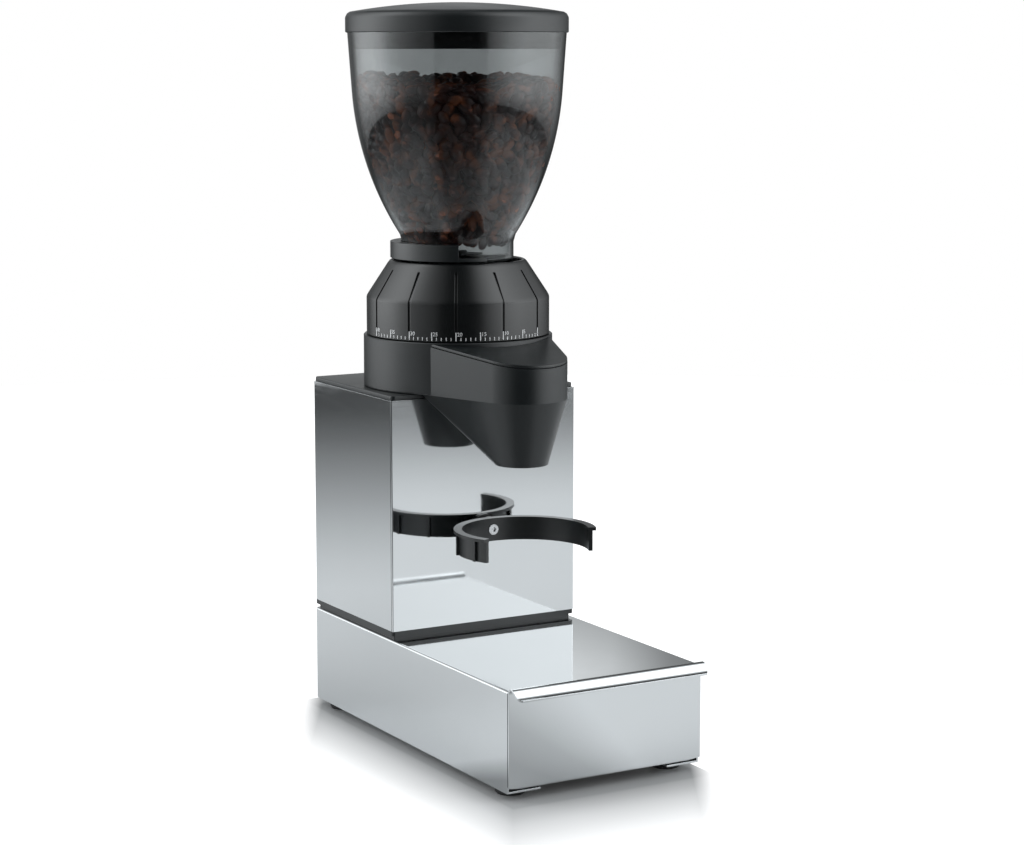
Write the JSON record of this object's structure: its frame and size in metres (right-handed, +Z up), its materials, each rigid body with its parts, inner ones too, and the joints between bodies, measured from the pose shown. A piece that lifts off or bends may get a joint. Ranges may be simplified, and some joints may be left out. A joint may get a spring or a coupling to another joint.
{
  "type": "burr coffee grinder",
  "caption": "Burr coffee grinder with a smoke-clear bean hopper, an adjusting collar, a spout over a portafilter fork, a polished steel tower and a knock-out drawer in its steel base.",
  "frame": {"origin": "on the table, under the middle of the whole footprint", "axes": "+Z up, the drawer and the spout face -Y, +X towards the side with the rocker switch"},
  "size_m": [0.1432, 0.2872, 0.4703],
  "materials": {
    "polished_steel": "mirror-polished stainless sheet",
    "bright_steel": "bright turned or zinc-plated steel",
    "burr_steel": "hardened ground steel",
    "cast_alloy": "as-cast light alloy",
    "gear_brass": "machined brass",
    "magnet": "sintered ferrite",
    "rubber": "matte moulded rubber",
    "dark_plastic": "fine satin moulding, dark grey",
    "lid_plastic": "fine matte moulding, dark grey",
    "black_plastic": "satin black moulding",
    "board_plastic": "green laminate with dark parts",
    "smoke_plastic": "clear grey-smoked moulding"
  },
  "bodies": {
    "grinder_body": {"base_casing": "polished_steel", "rubber_feet": "rubber", "foot_rivets": "bright_steel", "tower_plinth": "dark_plastic", "plinth_screws": "bright_steel", "tower_wrap": "polished_steel", "tower_front_panel": "polished_steel", "tower_top_plate": "dark_plastic", "cord_gland": "rubber", "gear_frame": "cast_alloy", "frame_screws": "bright_steel", "lower_bearing": "bright_steel", "upper_bearing": "bright_steel", "idler_pin": "bright_steel", "motor_can": "bright_steel", "motor_magnets": "magnet", "motor_screws": "bright_steel", "control_board": "board_plastic", "board_posts": "gear_brass", "switch_bracket": "bright_steel", "microswitch": "black_plastic", "plunger_guide": "black_plastic", "plunger_spring": "bright_steel", "head_housing": "dark_plastic", "head_screws": "bright_steel", "spout_lid": "dark_plastic", "rocker_frame": "black_plastic"},
    "drawer": {"drawer_front": "polished_steel", "drawer_nuts": "bright_steel", "drawer_tray": "dark_plastic", "knock_bar": "bright_steel", "knock_bar_sleeve": "rubber"},
    "rotor": {"motor_rotor": "bright_steel"},
    "idler": {"idler_gear": "gear_brass"},
    "burr_drive": {"burr_shaft": "bright_steel", "burr_gear": "gear_brass", "impeller": "black_plastic", "cone_burr": "burr_steel", "cone_burr_nut": "bright_steel"},
    "collar": {"adjusting_collar": "dark_plastic"},
    "carrier": {"burr_carrier": "dark_plastic", "ring_burr": "burr_steel"},
    "hopper_body": {"hopper": "smoke_plastic", "hopper_grate": "dark_plastic"},
    "shutter": {"shutter_ring": "dark_plastic"},
    "lid": {"hopper_lid": "lid_plastic", "lid_seal": "rubber"},
    "rocker": {"rocker_button": "black_plastic"},
    "fork": {"portafilter_fork": "dark_plastic", "fork_screw": "bright_steel", "plunger": "bright_steel"},
    "lever": {"switch_lever": "bright_steel"}
  },
  "joints": [
    {"name": "drawer_slide", "type": "slide", "parent": "grinder_body", "child": "drawer", "axis": [0, -1, 0], "range_m": [0, 0.19]},
    {"name": "motor_spin", "type": "hinge", "parent": "grinder_body", "child": "rotor", "pos_m": [0, 0.09145, 0.15], "axis": [0, 0, 1], "continuous": true},
    {"name": "idler_spin", "type": "hinge", "parent": "grinder_body", "child": "idler", "pos_m": [0.02799, 0.08064, 0.2], "axis": [0, 0, 1], "continuous": true},
    {"name": "burr_spin", "type": "hinge", "parent": "grinder_body", "child": "burr_drive", "pos_m": [0, 0.05206, 0.2], "axis": [0, 0, 1], "continuous": true},
    {"name": "collar_turn", "type": "hinge", "parent": "grinder_body", "child": "collar", "pos_m": [0, 0.05206, 0.28], "axis": [0, 0, 1], "range_deg": [-27, 93]},
    {"name": "carrier_lift", "type": "slide", "parent": "grinder_body", "child": "carrier", "axis": [0, 0, 1], "range_m": [-0.0003, 0.0009]},
    {"name": "hopper_lift", "type": "slide", "parent": "carrier", "child": "hopper_body", "axis": [0, 0, 1], "range_m": [0, 0.06]},
    {"name": "shutter_turn", "type": "hinge", "parent": "hopper_body", "child": "shutter", "pos_m": [0, 0.05206, 0.308], "axis": [0, 0, 1], "range_deg": [0, 60]},
    {"name": "lid_lift", "type": "slide", "parent": "hopper_body", "child": "lid", "axis": [0, 0, 1], "range_m": [0, 0.06]},
    {"name": "rocker_press", "type": "hinge", "parent": "grinder_body", "child": "rocker", "pos_m": [0.03508, -0.01924, 0.2366], "axis": [0, 0, 1], "range_deg": [0, 28]},
    {"name": "fork_press", "type": "slide", "parent": "grinder_body", "child": "fork", "axis": [0, 1, 0], "range_m": [0, 0.003], "stiffness_N_per_m": 600, "springref_m": -0.002, "deforming": ["plunger_spring"]},
    {"name": "lever_turn", "type": "hinge", "parent": "grinder_body", "child": "lever", "pos_m": [0.013, 0.03506, 0.119], "axis": [-1, 0, 0], "range_deg": [0, 11]}
  ],
  "couplings": [
    {"joint": "idler_spin", "follows": "motor_spin", "ratio": -0.25},
    {"joint": "burr_spin", "follows": "motor_spin", "ratio": 0.07},
    {"joint": "carrier_lift", "follows": "collar_turn", "m_per_rad": 0.00047746},
    {"joint": "lever_turn", "follows": "fork_press", "rad_per_m": 62.5}
  ]
}
